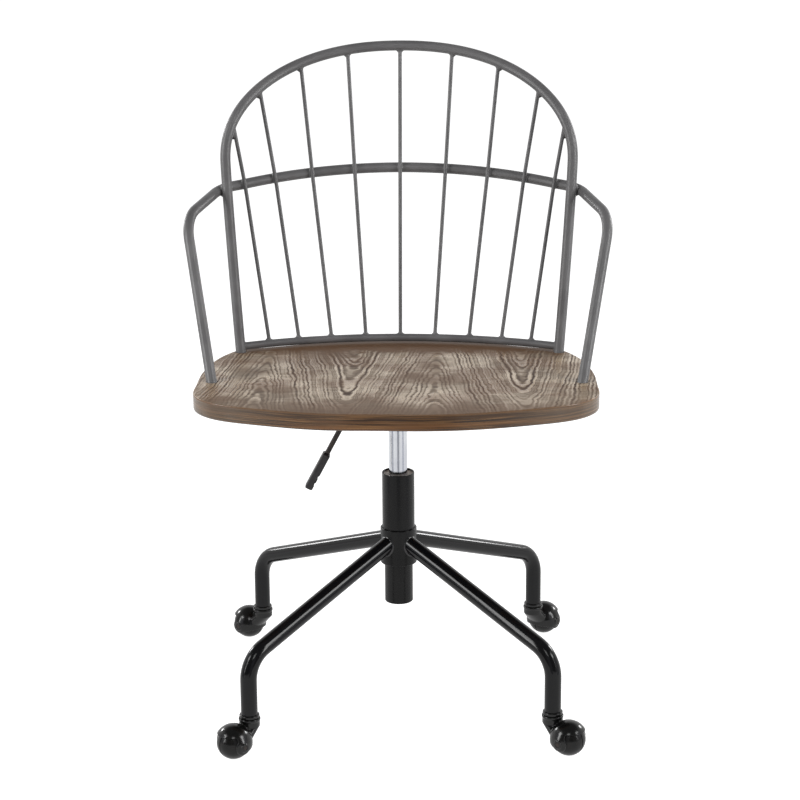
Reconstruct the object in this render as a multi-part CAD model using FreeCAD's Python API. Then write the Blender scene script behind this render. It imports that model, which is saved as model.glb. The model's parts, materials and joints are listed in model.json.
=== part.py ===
"""Swivel desk chair: wooden seat, steel tube back with spindles, gas lift, four legs on ball casters.

Lengths are millimetres. The origin is on the floor under the column axis, +Z is up, +X is to the right of
someone who faces the chair, and the chair faces -Y. The model stands at its usual working height.
"""
import FreeCAD
import Part
import math
import os

V = FreeCAD.Vector
UP = V(0, 0, 1)
ACROSS = V(0, 1, 0)

os.makedirs("parts", exist_ok=True)

# Clearances shared by the whole chair
running_fit = 0.05
press_fit = 0.02
moving_gap = 0.3
socket_clearance = 0.2
overrun = 6.0

# Seat board
seat_top_height = 518.0
seat_thickness = 26.0
seat_half_width = 300.5
seat_front_reach = 214.5
seat_rear_reach = 209.0
seat_top_rounding = 1.5
seat_bottom_rounding = 4.0
# Half of the outline, front centre to rear centre: shares of the half width, and of the front or rear reach
seat_outline_shares = (
    (0.0, -1.0), (0.333, -0.984), (0.694, -0.852), (0.915, -0.695), (0.992, -0.525), (1.0, -0.29),
    (0.996, -0.02), (0.982, 0.165), (0.945, 0.42), (0.893, 0.6), (0.845, 0.695), (0.77, 0.745),
    (0.53, 0.865), (0.29, 0.965), (0.0, 1.0))

# Curved surface on which the back is laid out: its plan is an arc that tightens upwards, and it leans back
back_lean_degrees = 12.0
back_setback = 16.5
back_radius_low = 585.0
back_radius_at_arm_rail = 462.0

# Hoop of the back
frame_tube_diameter = 16.0
frame_tube_wall = 1.2
hoop_foot_inset = 50.5
hoop_spread = 19.2
hoop_shoulder_height = 300.0
hoop_height = 460.0
hoop_upright_power = 1.2
hoop_crown_power = 2.27
hoop_upright_stations = 4
hoop_crown_stations = 6

# Rail that carries the spindles just above the seat
lower_rail_diameter = 12.0
lower_rail_lift = 8.5

# Rail behind the spindles, which runs on into both arms
arm_rail_height = 270.6
arm_rail_fall_degrees = 12.1
arm_bend_radius = 58.0
arm_turn_radius = 55.0
arm_foot_inset = 21.5
arm_foot_depth = -38.5
arm_corner_flare = 43.0
arm_corner_setback = 103.5
weld_bite = 0.2

# Spindles, as shares of half the foot spacing at the foot, and of half the hoop width above it
spindle_diameter = 6.0
spindle_bend_radius = 240.0
spindle_foot_shares = (-0.824, -0.64, -0.436, -0.219, 0.0, 0.219, 0.436, 0.64, 0.824)
spindle_rail_shares = (-0.888, -0.72, -0.512, -0.267, 0.0, 0.267, 0.512, 0.72, 0.888)
spindle_top_shares = (-0.957, -0.809, -0.577, -0.307, 0.0, 0.307, 0.577, 0.809, 0.957)

# Feet of the hoop and the arms in the seat board
foot_socket_depth = 9.0
socket_mouth_rounding = 1.2
plug_length = 20.0
frame_bolt_diameter = 6.0
frame_bolt_head_diameter = 11.0
frame_bolt_head_height = 4.0
frame_bolt_hex = 4.0
frame_bolt_grip = 14.0
frame_washer_diameter = 15.0
frame_washer_thickness = 1.5
counterbore_diameter = 17.0
counterbore_depth = 8.5

# Pressed plate and channel of the height mechanism
plate_width = 200.0
plate_length = 180.0
plate_thickness = 3.0
plate_corner_radius = 14.0
plate_bolt_spacing_x = 160.0
plate_bolt_spacing_y = 140.0
plate_slot_width = 12.0
plate_slot_length = 70.0
plate_bolt_diameter = 6.0
plate_bolt_head_diameter = 12.0
plate_bolt_head_height = 3.8
plate_bolt_hex = 4.0
plate_bolt_length = 15.0
insert_diameter = 9.0
insert_length = 13.0
channel_width = 90.0
channel_length = 130.0
channel_depth = 37.0
channel_sheet = 2.5
channel_bend_radius = 5.0
channel_corner_cut = 26.0
socket_diameter = 38.0
socket_length = 32.0

# Release lever and its pin
lever_axis_drop = 14.0
lever_diameter = 8.0
lever_hole_clearance = 0.5
lever_tongue_thickness = 4.0
lever_tongue_width = 14.0
lever_tongue_overlap = 8.0
lever_tongue_blend = 8.0
lever_shoulder = 18.6
lever_bend_radius = 12.0
lever_slope_degrees = 62.0
lever_length = 153.7
handle_length = 63.5
handle_width = 17.0
handle_depth = 12.2
handle_rounding = 2.6
handle_end_wall = 6.0
notch_radius = 4.5
notch_depth = 1.8
notch_first = 11.5
notch_pitch = 12.2
pin_diameter = 7.0
pin_proud = 5.7
pin_dome_radius = 6.0
pin_length = 34.0

# Gas cylinder, its rod and the column
cylinder_diameter = 28.0
cylinder_wall = 2.0
cylinder_taper_length = 38.0
cylinder_top_diameter = 26.4
cylinder_cap = 12.0
cylinder_depth_in_column = 123.5
cylinder_lip = 2.0
cylinder_rounding = 1.0
rod_guide_length = 16.0
rod_diameter = 10.0
rod_neck_diameter = 8.0
piston_length = 12.0
piston_depth_in_column = 56.5
column_diameter = 50.0
column_wall = 2.0
column_rim_rounding = 0.8
column_height_above_hub = 88.5
column_cone_entry = 10.0
column_cone_length = 25.0
column_neck_diameter = 43.7
column_neck_reach = 64.0
column_floor = 4.0
column_floor_recess = 5.0
column_foot_rounding = 1.2
bush_length = 75.0
bush_recess = 3.0
bush_chamfer = 1.5
race_diameter = 27.0
race_thickness = 2.0
bearing_ball_diameter = 4.0
bearing_ball_count = 10
bearing_pitch_diameter = 19.0
race_groove_depth = 0.4
bump_stop_diameter = 22.0
bump_stop_height = 9.0
clip_diameter = 14.0
clip_thickness = 1.2
clip_opening = 6.0

# Four-leg base
hub_diameter = 56.0
hub_height = 57.0
hub_drop = 42.0
hub_edge_rounding = 1.2
leg_axis_height = 260.0
leg_corner_height = 147.0
leg_reach = 224.5
leg_tube_diameter = 25.0
leg_tube_wall = 1.5
leg_bend_radius = 46.0
# The base stands turned under the seat by this much, counted from +X towards +Y
base_turn_degrees = 2.0

# Hooded ball casters; the angles are those at which each one trails, counted from +X towards +Y
caster_height = 62.0
caster_trail = 30.0
caster_trail_degrees = {"front_left": 221.0, "front_right": 322.0, "rear_left": 145.0, "rear_right": 52.0}
ball_diameter = 50.0
ball_gap = 1.2
ball_groove_width = 1.6
ball_groove_depth = 1.0
ball_bore_face_diameter = 16.0
ball_bore_face_depth = 1.0
hood_wall = 2.3
hood_rim_height = 15.0
hood_lug_radius = 12.5
hood_lug_degrees = 45.0
hood_boss_diameter = 13.0
hood_boss_proud = 0.9
neck_diameter = 31.0
neck_straight_height = 8.0
neck_foot_diameter = 40.0
collar_diameter = 32.6
collar_height = 4.6
flange_diameter = 30.0
flange_height = 5.0
socket_insert_length = 36.0
socket_insert_cap = 3.0
ring_rounding = 1.4
stem_diameter = 10.0
stem_length = 30.0
stem_root_length = 12.0
stem_point = 2.0
axle_diameter = 6.0

# Places that follow from the sizes
seat_underside = seat_top_height - seat_thickness
back_depth = seat_rear_reach - back_setback
hoop_foot_x = seat_half_width - hoop_foot_inset
hoop_half_width = hoop_foot_x + hoop_spread
arm_foot_x = seat_half_width - arm_foot_inset
arm_corner_x = arm_foot_x + arm_corner_flare
arm_corner_depth = arm_foot_depth + arm_corner_setback
plate_underside = seat_underside - plate_thickness
lower_rail_z = seat_top_height + lower_rail_lift
arm_rail_z = seat_top_height + arm_rail_height
frame_tube_radius = frame_tube_diameter / 2
spindle_radius = spindle_diameter / 2
lever_axis_z = seat_underside - lever_axis_drop
tongue_underside = lever_axis_z - lever_tongue_thickness / 2
pin_top = tongue_underside - moving_gap
cylinder_top = pin_top - pin_proud
hub_bottom = leg_axis_height - hub_drop
hub_top = hub_bottom + hub_height
column_top = hub_top + column_height_above_hub
column_bottom = hub_bottom - column_neck_reach
column_floor_top = column_bottom + column_floor_recess + column_floor
cylinder_bottom = column_top - cylinder_depth_in_column
column_bore = column_diameter - 2 * column_wall
race_top = column_floor_top + 2 * race_thickness + bearing_ball_diameter - 2 * race_groove_depth


def export(name, shape):
    """Writes one sub-part."""
    shape.exportStep("parts/" + name + ".step")


def cylinder(radius, low, high, centre=V(0, 0, 0)):
    """Upright cylinder between two heights."""
    return Part.makeCylinder(radius, high - low, centre + UP * low)


def rod_between(radius, start, end):
    """Cylinder from one point to another."""
    run = end - start
    return Part.makeCylinder(radius, run.Length, start, run)


def block(low_corner, high_corner):
    """Box between two opposite corners."""
    size = high_corner - low_corner
    return Part.makeBox(size.x, size.y, size.z, low_corner)


def turned(profile):
    """Solid of revolution about the column axis, from (radius, height) points."""
    points = [V(radius, 0, height) for radius, height in profile]
    face = Part.Face(Part.makePolygon(points + points[:1]))
    return face.revolve(V(0, 0, 0), UP, 360)


def round_edges(solid, radius, wanted):
    """Fillets the edges that a test picks."""
    edges = [edge for edge in solid.Edges if wanted(edge)]
    return solid.makeFillet(radius, edges)


def circle_at(height, radius=None):
    """Test for full circles at a height, for round_edges."""
    def wanted(edge):
        is_circle = isinstance(edge.Curve, Part.Circle)
        at_height = is_circle and abs(edge.Curve.Center.z - height) < press_fit
        return at_height and (radius is None or abs(edge.Curve.Radius - radius) < press_fit)
    return wanted


def corner_arc(start, corner, end):
    """Arc from start to end, tangent to the lines through the corner, or a line where they are in line."""
    middle = (start + end) * 0.5
    half_chord = (end - start).Length / 2
    rise = (corner - middle).Length
    if rise < half_chord * 1e-4:
        return Part.makeLine(start, end)
    cosine = half_chord / (corner - start).Length
    apex = middle + (corner - middle) * (cosine / (1 + cosine))
    return Part.Arc(start, apex, end).toShape()


def bent_edges(points, radii):
    """Straight runs between points, joined at the inner points by arcs of the given radii."""
    edges = []
    here = points[0]
    for before, corner, after, radius in zip(points, points[1:], points[2:], radii):
        come = (corner - before).normalize()
        leave = (after - corner).normalize()
        setback = radius * math.tan(come.getAngle(leave) / 2)
        start = corner - come * setback
        end = corner + leave * setback
        edges.append(Part.makeLine(here, start))
        if (end - start).Length > press_fit:
            edges.append(corner_arc(start, corner, end))
        else:
            end = start
        here = end
    edges.append(Part.makeLine(here, points[-1]))
    return edges


def corner_through(before, apex, after, radius):
    """Corner between two points whose rounding at a radius passes through the apex."""
    corner = apex
    for _ in range(6):
        come = (corner - before).normalize()
        leave = (after - corner).normalize()
        outwards = come - leave
        if outwards.Length < 1e-6:
            return corner
        rise = radius * (1 / math.cos(come.getAngle(leave) / 2) - 1)
        corner = apex + outwards.normalize() * rise
    return corner


def path_tangents(points, first, last):
    """Unit tangents at the points of a smooth path, with the end ones given."""
    tangents = [V(first).normalize()]
    for before, here, after in zip(points, points[1:], points[2:]):
        come = here - before
        leave = after - here
        tangent = come * (leave.Length / come.Length) + leave * (come.Length / leave.Length)
        tangents.append(tangent.normalize())
    tangents.append(V(last).normalize())
    return tangents


def smooth_edges(points, first, last):
    """Smooth path of tangent arcs through the points, two arcs for each span."""
    tangents = path_tangents(points, first, last)
    edges = []
    for start, end, leave, arrive in zip(points, points[1:], tangents, tangents[1:]):
        chord = end - start
        along = chord.dot(leave + arrive)
        bend = 2 * (1 - leave.dot(arrive))
        if bend < 1e-9:
            reach = chord.dot(chord) / (2 * along)
        else:
            reach = (math.sqrt(along ** 2 + bend * chord.dot(chord)) - along) / bend
        first_corner = start + leave * reach
        second_corner = end - arrive * reach
        middle = (first_corner + second_corner) * 0.5
        edges.append(corner_arc(start, first_corner, middle))
        edges.append(corner_arc(middle, second_corner, end))
    return edges


def bar(edges, radius):
    """Round bar along a path."""
    path = Part.Wire(Part.__sortEdges__(edges))
    first_edge = path.Edges[0]
    start = first_edge.valueAt(first_edge.FirstParameter)
    direction = first_edge.tangentAt(first_edge.FirstParameter)
    ring = Part.Wire(Part.makeCircle(radius, start, direction))
    return path.makePipeShell([ring], True, False)


def tube(edges, radius, wall):
    """Round tube along a path, open at both ends."""
    return bar(edges, radius).cut(bar(edges, radius - wall))


def mirrored_x(point):
    """The same point on the other side of the chair."""
    return V(-point.x, point.y, point.z)


def back_radius(height):
    """Plan radius of the back's surface at a height."""
    change = (back_radius_at_arm_rail - back_radius_low) / (arm_rail_z - lower_rail_z)
    return back_radius_low + change * (height - lower_rail_z)


def back_point(x, height):
    """Point on the surface that the hoop and the spindles follow."""
    radius = back_radius(height)
    lean = (height - lower_rail_z) * math.tan(math.radians(back_lean_degrees))
    return V(x, back_depth + lean - radius + math.sqrt(radius ** 2 - x ** 2), height)


def back_normal(x, height):
    """Level direction that points away from the sitter at right angles to that surface."""
    radius = back_radius(height)
    return V(x / radius, math.sqrt(radius ** 2 - x ** 2) / radius, 0)


def arm_plane_height(depth):
    """Height of the arm rail's centre line, which falls towards the front."""
    rail_depth = back_point(0, arm_rail_z).y + frame_tube_radius + spindle_radius
    return arm_rail_z - (rail_depth - depth) * math.tan(math.radians(arm_rail_fall_degrees))


def rail_crossing(x, standoff):
    """Centre of the arm rail where it passes behind the back's surface, at a distance from the middle."""
    height = arm_rail_z
    for _ in range(12):
        rail = back_point(x, height) + back_normal(x, height) * standoff
        height = arm_plane_height(rail.y)
    return V(rail.x, rail.y, height)


def hoop_outline_x(rise):
    """Half width of the hoop at a rise above the seat, below its shoulder."""
    return hoop_half_width - hoop_spread * (1 - rise / hoop_shoulder_height) ** hoop_upright_power


def hoop_crown_rise(x):
    """Rise of the hoop above the seat at a distance from the middle, above its shoulder."""
    across = abs(x) / hoop_half_width
    share = (1 - across ** hoop_crown_power) ** (1 / hoop_crown_power)
    return hoop_shoulder_height + (hoop_height - hoop_shoulder_height) * share


def hoop_points():
    """Centre line of the hoop on its right half, from the seat top to the crown."""
    points = []
    for station in range(hoop_upright_stations + 1):
        rise = hoop_shoulder_height * station / hoop_upright_stations
        points.append(back_point(hoop_outline_x(rise), seat_top_height + rise))
    for station in range(1, hoop_crown_stations + 1):
        angle = math.radians(90) * station / hoop_crown_stations
        across = max(math.cos(angle), 0) ** (2 / hoop_crown_power)
        up_share = math.sin(angle) ** (2 / hoop_crown_power)
        rise = hoop_shoulder_height + (hoop_height - hoop_shoulder_height) * up_share
        points.append(back_point(hoop_half_width * across, seat_top_height + rise))
    return points


# Centre lines of the frame
right_hoop = hoop_points()
hoop_foot = right_hoop[0]
hoop_foot_direction = (right_hoop[1] - right_hoop[0]).normalize()
hoop_line = [mirrored_x(point) for point in right_hoop] + right_hoop[-2::-1]
hoop_start = mirrored_x(hoop_foot - hoop_foot_direction * foot_socket_depth)
hoop_end = hoop_foot - hoop_foot_direction * foot_socket_depth
hoop_edges = [Part.makeLine(hoop_start, hoop_line[0])]
hoop_edges += smooth_edges(hoop_line, mirrored_x(hoop_foot_direction), -hoop_foot_direction)
hoop_edges += [Part.makeLine(hoop_line[-1], hoop_end)]

lower_rail_ends = [back_point(side * hoop_outline_x(lower_rail_lift), lower_rail_z) for side in (-1, 1)]
lower_rail_edges = [Part.Arc(lower_rail_ends[0], back_point(0, lower_rail_z), lower_rail_ends[1]).toShape()]

standoff_spindle = frame_tube_radius + spindle_radius - weld_bite
standoff_upright = frame_tube_diameter - weld_bite
upright_x = hoop_outline_x(rail_crossing(hoop_half_width, standoff_upright).z - seat_top_height)


def rail_standoff(x):
    """Distance of the arm rail's centre behind the back's surface, which grows towards the uprights."""
    return standoff_spindle + (standoff_upright - standoff_spindle) * (x / upright_x) ** 2


rail_points = []
for share in spindle_rail_shares:
    x = share * hoop_half_width
    rail_points.append(rail_crossing(x, rail_standoff(x)))

arm_foot = V(arm_foot_x, arm_foot_depth, seat_top_height)
arm_corner = V(arm_corner_x, arm_corner_depth, arm_plane_height(arm_corner_depth))
arm_foot_direction = (arm_corner - arm_foot).normalize()
arm_end = arm_foot - arm_foot_direction * foot_socket_depth

# The rail bends round the back of the upright and is welded to it
behind_upright = rail_crossing(upright_x, standoff_upright)
turn_corner = corner_through(rail_points[-1], behind_upright, arm_corner, arm_turn_radius)
right_arm = [rail_points[-1], turn_corner, arm_corner, arm_end]
left_arm = [mirrored_x(point) for point in right_arm]
rail_leave = turn_corner - rail_points[-1]
rail_arrive = mirrored_x(rail_leave) * -1
rail_edges = smooth_edges(rail_points, rail_arrive, rail_leave)
rail_edges += bent_edges(right_arm, [arm_turn_radius, arm_bend_radius])
rail_edges += bent_edges(left_arm, [arm_turn_radius, arm_bend_radius])
rail_tangents = path_tangents(rail_points, rail_arrive, rail_leave)

# Filled forms of the tubes, which cope the ends of what is welded to them
hoop_bar = bar(hoop_edges, frame_tube_radius)
lower_rail_bar = bar(lower_rail_edges, lower_rail_diameter / 2)
arm_rail_bar = bar(rail_edges, frame_tube_radius)

export("back_hoop", hoop_bar.cut(bar(hoop_edges, frame_tube_radius - frame_tube_wall)))
export("arm_rail", arm_rail_bar.cut([bar(rail_edges, frame_tube_radius - frame_tube_wall), hoop_bar]))
export("lower_rail", lower_rail_bar.cut(hoop_bar))


def spindle(index):
    """Round spindle in front of the arm rail, coped to both rails and to the hoop."""
    foot = back_point(spindle_foot_shares[index] * hoop_foot_x, lower_rail_z)
    top_x = spindle_top_shares[index] * hoop_half_width
    top = back_point(top_x, seat_top_height + hoop_crown_rise(top_x))
    backwards = (top - foot).cross(rail_tangents[index]).normalize()
    crossing = rail_points[index] - backwards * standoff_spindle
    bend = corner_through(foot, crossing, top, spindle_bend_radius)
    return bar(bent_edges([foot, bend, top], [spindle_bend_radius]), spindle_radius).cut(
        [lower_rail_bar, arm_rail_bar, hoop_bar])


for index in range(len(spindle_foot_shares)):
    export("spindle_" + str(index + 1), spindle(index))

# Feet of the frame: where each tube enters the seat top, and which way it runs
frame_feet = [(hoop_foot, hoop_foot_direction), (arm_foot, arm_foot_direction)]
frame_feet += [(mirrored_x(point), mirrored_x(direction)) for point, direction in frame_feet]


def underside_point(point, direction):
    """Where the tube's axis leaves the underside of the seat board."""
    return point - direction * (seat_thickness / direction.z)


def hex_recess(across_flats, depth, mouth, direction):
    """Hexagonal key recess that starts at a face and goes along a direction."""
    first = V(across_flats / math.sqrt(3), 0, 0)
    corners = [FreeCAD.Rotation(UP, 360 * index / 6).multVec(first) for index in range(7)]
    key = Part.Face(Part.makePolygon(corners)).extrude(UP * depth)
    key.Placement = FreeCAD.Placement(mouth, FreeCAD.Rotation(UP, direction))
    return key


def frame_bolt(point, direction):
    """Socket-head bolt that pulls a tube's plug down into the seat board."""
    seat_face = underside_point(point, direction) + direction * counterbore_depth
    under_washer = seat_face - direction * frame_washer_thickness
    head_foot = under_washer - direction * frame_bolt_head_height
    tip = point - direction * foot_socket_depth + direction * frame_bolt_grip
    head = rod_between(frame_bolt_head_diameter / 2, head_foot, under_washer)
    shank = rod_between(frame_bolt_diameter / 2, under_washer, tip)
    return head.fuse(shank).cut(hex_recess(frame_bolt_hex, frame_bolt_head_height / 2, head_foot, direction))


def frame_washer(point, direction):
    """Plain washer on the floor of the counterbore."""
    seat_face = underside_point(point, direction) + direction * counterbore_depth
    under_washer = seat_face - direction * frame_washer_thickness
    bore = frame_bolt_diameter / 2 + running_fit
    return rod_between(frame_washer_diameter / 2, under_washer, seat_face).cut(
        rod_between(bore, under_washer - direction * overrun, seat_face + direction * overrun))


def tube_plug(point, direction):
    """Threaded steel plug fixed in the end of a frame tube."""
    start = point - direction * foot_socket_depth
    radius = frame_tube_radius - frame_tube_wall - press_fit
    bore = frame_bolt_diameter / 2 + press_fit
    return rod_between(radius, start, start + direction * plug_length).cut(
        rod_between(bore, start - direction * overrun, start + direction * (plug_length + overrun)))


export("frame_bolts", Part.makeCompound([frame_bolt(*foot) for foot in frame_feet]))
export("frame_washers", Part.makeCompound([frame_washer(*foot) for foot in frame_feet]))
export("tube_plugs", Part.makeCompound([tube_plug(*foot) for foot in frame_feet]))

plate_bolt_places = [V(side * plate_bolt_spacing_x / 2, end * plate_bolt_spacing_y / 2, 0)
                     for side in (-1, 1) for end in (-1, 1)]


def seat_outline():
    """Closed smooth outline of the seat board at its underside."""
    right = []
    for across, along in seat_outline_shares:
        reach = seat_front_reach if along < 0 else seat_rear_reach
        right.append(V(across * seat_half_width, along * reach, seat_underside))
    left = [mirrored_x(point) for point in right[-2:0:-1]]
    curve = Part.BSplineCurve()
    curve.interpolate(Points=right + left, PeriodicFlag=True)
    return Part.Wire(curve.toShape())


def seat_board():
    """Board with rounded edges, sockets for the frame's feet and blind holes for the plate's inserts."""
    board = Part.Face(seat_outline()).extrude(UP * seat_thickness)
    board = round_edges(board, seat_top_rounding, lambda e: e.BoundBox.ZMin > seat_top_height - press_fit)
    board = round_edges(board, seat_bottom_rounding, lambda e: e.BoundBox.ZMax < seat_underside + press_fit)
    cuts = []
    for point, direction in frame_feet:
        socket_floor = point - direction * foot_socket_depth
        under = underside_point(point, direction)
        socket_radius = frame_tube_radius + socket_clearance
        cuts.append(rod_between(socket_radius, socket_floor, point + direction * overrun * 2))
        cuts.append(rod_between(frame_bolt_diameter / 2 + socket_clearance, under, point))
        cuts.append(rod_between(counterbore_diameter / 2, under - direction * overrun * 2,
                                under + direction * counterbore_depth))
    for place in plate_bolt_places:
        cuts.append(cylinder(insert_diameter / 2 + press_fit, seat_underside - overrun,
                             seat_underside + plate_bolt_length, place))
    board = board.cut(cuts)
    return round_edges(board, socket_mouth_rounding,
                       lambda e: e.BoundBox.ZMin > seat_top_height - press_fit
                       and e.Length < seat_half_width)


export("seat_board", seat_board())


def plate_bolt(place):
    """Pan-head bolt up through the plate into its insert."""
    head_foot = plate_underside - plate_bolt_head_height
    head = cylinder(plate_bolt_head_diameter / 2, head_foot, plate_underside, place)
    head = round_edges(head, plate_bolt_head_height / 3, circle_at(head_foot))
    shank = cylinder(plate_bolt_diameter / 2, plate_underside, plate_underside + plate_bolt_length, place)
    key = hex_recess(plate_bolt_hex, plate_bolt_head_height / 2, place + UP * head_foot, UP)
    return head.fuse(shank).cut(key)


def seat_insert(place):
    """Threaded insert screwed into the underside of the seat board."""
    body = cylinder(insert_diameter / 2, seat_underside, seat_underside + insert_length, place)
    bore = cylinder(plate_bolt_diameter / 2 + press_fit, seat_underside - overrun,
                    seat_underside + insert_length + overrun, place)
    return body.cut(bore)


export("plate_bolts", Part.makeCompound([plate_bolt(place) for place in plate_bolt_places]))
export("seat_inserts", Part.makeCompound([seat_insert(place) for place in plate_bolt_places]))


def rounded_plate(width, length, radius, low, high):
    """Flat plate with round corners, centred on the column axis."""
    plate = block(V(-width / 2, -length / 2, low), V(width / 2, length / 2, high))
    return round_edges(plate, radius, lambda e: e.BoundBox.ZLength > (high - low) / 2)


def seat_plate():
    """Pressed plate between the seat board and the channel, with its bolt holes and two slots."""
    plate = rounded_plate(plate_width, plate_length, plate_corner_radius, plate_underside, seat_underside)
    holes = [cylinder(plate_bolt_diameter / 2 + socket_clearance, plate_underside - overrun,
                      seat_underside + overrun, place) for place in plate_bolt_places]
    slot = rounded_plate(plate_slot_width, plate_slot_length, plate_slot_width / 2 - press_fit,
                         plate_underside - overrun, seat_underside + overrun)
    for side in (-1, 1):
        holes.append(slot.translated(V(side * plate_bolt_spacing_x / 2, 0, 0)))
    return plate.cut(holes)


def channel():
    """Folded channel under the plate: it holds the taper socket, and the lever passes its left wall."""
    floor = plate_underside - channel_depth
    half = channel_width / 2
    end = channel_length / 2
    outer = block(V(-half, -end, floor), V(half, end, plate_underside))
    outer = round_edges(outer, channel_bend_radius,
                        lambda e: e.BoundBox.YLength > end and e.BoundBox.ZMax < floor + press_fit)
    inner = block(V(-half + channel_sheet, -end - overrun, floor + channel_sheet),
                  V(half - channel_sheet, end + overrun, plate_underside + overrun))
    inner = round_edges(inner, channel_bend_radius - channel_sheet,
                        lambda e: e.BoundBox.YLength > end
                        and e.BoundBox.ZMax < floor + channel_sheet + press_fit)
    folded = outer.cut(inner)
    cuts = [cylinder(socket_diameter / 2 + press_fit, floor - overrun, floor + channel_sheet + overrun)]
    for side in (-1, 1):
        left = -half - overrun
        corner = V(left, side * (end + overrun), floor - overrun)
        up = V(left, side * (end + overrun), floor + channel_corner_cut + overrun)
        inwards = V(left, side * (end - channel_corner_cut - overrun), floor - overrun)
        triangle = Part.Face(Part.makePolygon([corner, up, inwards, corner]))
        cuts.append(triangle.extrude(V(channel_width + 2 * overrun, 0, 0)))
    hole = lever_diameter / 2 + lever_hole_clearance
    hole_start = V(-half - overrun, 0, lever_axis_z)
    cuts.append(Part.makeCylinder(hole, channel_sheet + 2 * overrun, hole_start, V(1, 0, 0)))
    return folded.cut(cuts)


taper_start = cylinder_top - cylinder_taper_length
taper_slope = (cylinder_diameter - cylinder_top_diameter) / 2 / cylinder_taper_length


def cylinder_radius(height):
    """Outer radius of the gas cylinder, which tapers towards its top."""
    return cylinder_diameter / 2 - taper_slope * max(height - taper_start, 0)


def taper_socket():
    """Turned socket that wedges on the cylinder's taper."""
    top = cylinder_top
    bottom = top - socket_length
    return turned([(cylinder_radius(bottom) + press_fit, bottom), (socket_diameter / 2, bottom),
                   (socket_diameter / 2, top), (cylinder_radius(top) + press_fit, top)])


export("seat_plate", seat_plate())
export("mechanism_channel", channel())
export("taper_socket", taper_socket())


def gas_cylinder():
    """Plated pressure tube, closed at the top but for the pin's bore, with a rolled lip at the bottom."""
    bore = cylinder_diameter / 2 - cylinder_wall
    pin_bore = pin_diameter / 2 + running_fit
    lip_bore = rod_diameter / 2 + cylinder_lip
    body = turned([(lip_bore, cylinder_bottom), (cylinder_diameter / 2, cylinder_bottom),
                   (cylinder_diameter / 2, taper_start), (cylinder_top_diameter / 2, cylinder_top),
                   (pin_bore, cylinder_top), (pin_bore, cylinder_top - cylinder_cap),
                   (bore, cylinder_top - cylinder_cap), (bore, cylinder_bottom + cylinder_lip),
                   (lip_bore, cylinder_bottom + cylinder_lip)])
    return round_edges(body, cylinder_rounding, circle_at(cylinder_bottom, cylinder_diameter / 2))


def rod_guide():
    """Seal and guide pressed into the cylinder's foot, through which the rod slides."""
    low = cylinder_bottom + cylinder_lip
    high = low + rod_guide_length
    radius = cylinder_diameter / 2 - cylinder_wall - press_fit
    bore = rod_diameter / 2 + running_fit
    return turned([(bore, low), (radius, low), (radius, high), (bore, high)])


def release_pin():
    """Domed valve pin that stands out of the cylinder's top."""
    pin = cylinder(pin_diameter / 2, pin_top - pin_length, pin_top)
    dome = Part.makeSphere(pin_dome_radius, UP * (pin_top - pin_dome_radius))
    stem = cylinder(pin_diameter / 2, pin_top - pin_length, pin_top - pin_dome_radius)
    return stem.fuse(pin.common(dome)).removeSplitter()


export("gas_cylinder", gas_cylinder())
export("rod_guide", rod_guide())
export("release_pin", release_pin())


# The lever's rod, from its tongue out through the channel's wall and down to its grip
lever_down = FreeCAD.Rotation(ACROSS, -lever_slope_degrees).multVec(V(-1, 0, 0))
lever_start = V(lever_tongue_blend - channel_width / 2, 0, lever_axis_z)
lever_bend = V(-channel_width / 2 - lever_shoulder, 0, lever_axis_z)
lever_end = lever_bend + lever_down * lever_length


def lever_rod():
    """Bent rod with a flat tongue over the pin; it rocks where it passes the channel's wall."""
    rod = bar(bent_edges([lever_start, lever_bend, lever_end], [lever_bend_radius]), lever_diameter / 2)
    half_width = lever_tongue_width / 2
    tongue = block(V(lever_start.x - lever_tongue_blend / 2, -half_width, tongue_underside),
                   V(lever_tongue_overlap, half_width, tongue_underside + lever_tongue_thickness))
    tongue = round_edges(tongue, half_width - press_fit,
                         lambda e: e.BoundBox.ZLength > lever_tongue_thickness / 2 and e.BoundBox.XMin > 0)
    return rod.fuse(tongue).removeSplitter()


def lever_handle():
    """Moulded grip on the rod's end, with two finger notches on its inner edge."""
    grip = block(V(-handle_depth / 2, -handle_width / 2, 0),
                 V(handle_depth / 2, handle_width / 2, handle_length))
    grip = grip.makeFillet(handle_rounding, grip.Edges)
    cuts = []
    for place in (notch_first, notch_first + notch_pitch):
        centre = V(handle_depth / 2 + notch_radius - notch_depth, -handle_width, place)
        cuts.append(Part.makeCylinder(notch_radius, handle_width * 2, centre, ACROSS))
    cuts.append(cylinder(lever_diameter / 2 + press_fit, handle_end_wall, handle_length + overrun))
    grip = grip.cut(cuts)
    grip.Placement = FreeCAD.Placement(lever_end + lever_down * handle_end_wall,
                                       FreeCAD.Rotation(ACROSS, 90 - lever_slope_degrees))
    return grip


export("lever_rod", lever_rod())
export("lever_handle", lever_handle())


def column_tube():
    """Outer tube of the lift, which narrows through the hub and ends in a floor for the bearing."""
    cone_top = hub_top - column_cone_entry
    cone_bottom = cone_top - column_cone_length
    outer = column_diameter / 2
    neck = column_neck_diameter / 2
    bore = column_bore / 2
    neck_bore = neck - column_wall
    floor_low = column_bottom + column_floor_recess
    rod_hole = rod_neck_diameter / 2 + running_fit
    body = turned([(rod_hole, floor_low), (neck_bore, floor_low), (neck_bore, column_bottom),
                   (neck, column_bottom), (neck, cone_bottom), (outer, cone_top), (outer, column_top),
                   (bore, column_top), (bore, cone_top), (neck_bore, cone_bottom),
                   (neck_bore, column_floor_top), (rod_hole, column_floor_top)])
    body = round_edges(body, column_foot_rounding, circle_at(column_bottom, neck))
    return round_edges(body, column_rim_rounding, circle_at(column_top))


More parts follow.
